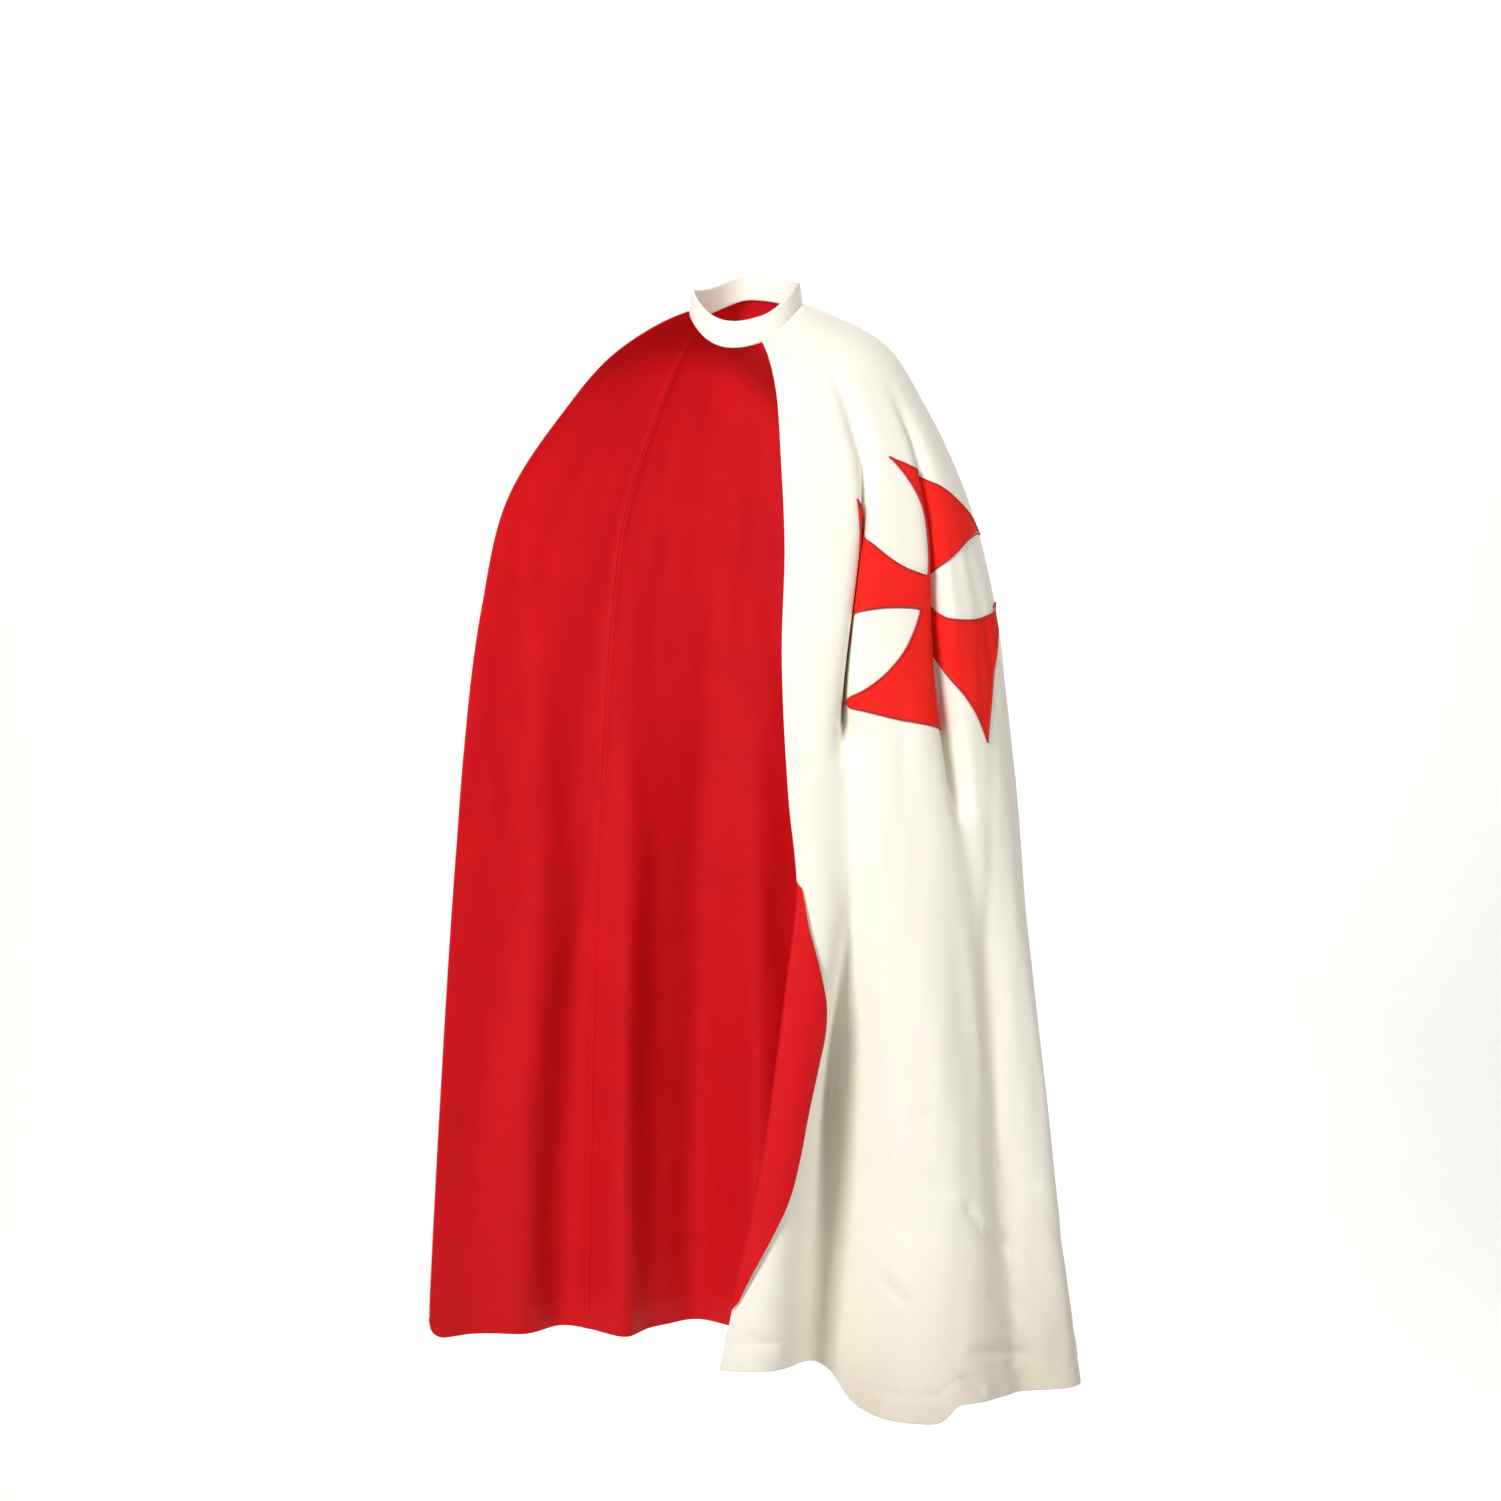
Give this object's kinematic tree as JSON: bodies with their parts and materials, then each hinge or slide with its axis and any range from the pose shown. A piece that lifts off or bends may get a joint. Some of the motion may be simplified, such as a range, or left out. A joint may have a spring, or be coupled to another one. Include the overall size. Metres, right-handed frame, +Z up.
{
  "type": "lined cloak",
  "caption": "Floor-length lined cloak in its hollow form as worn, one front swept back and the other hanging closed over the arm, with a neckband and a sewn cross.",
  "frame": {"origin": "centre of the neck opening, where the cloak hangs from the neck and shoulders", "axes": "+Z up, -Y to the front of the cloak, +X to its own left side"},
  "size_m": [0.9278, 0.6069, 1.5351],
  "materials": {
    "wool_white": "cream-white twill wool, lightly fulled, matt",
    "lining_red": "red plain-weave lining cloth, soft low sheen",
    "cross_red": "red felted wool applique with a satin-stitched edge"
  },
  "bodies": {
    "root": {"left_front_shell": "wool_white", "back_shell": "wool_white", "right_front_shell": "wool_white", "left_front_lining": "lining_red", "back_lining": "lining_red", "right_front_lining": "lining_red", "neckband": "wool_white", "cross_applique": "cross_red"}
  },
  "joints": []
}
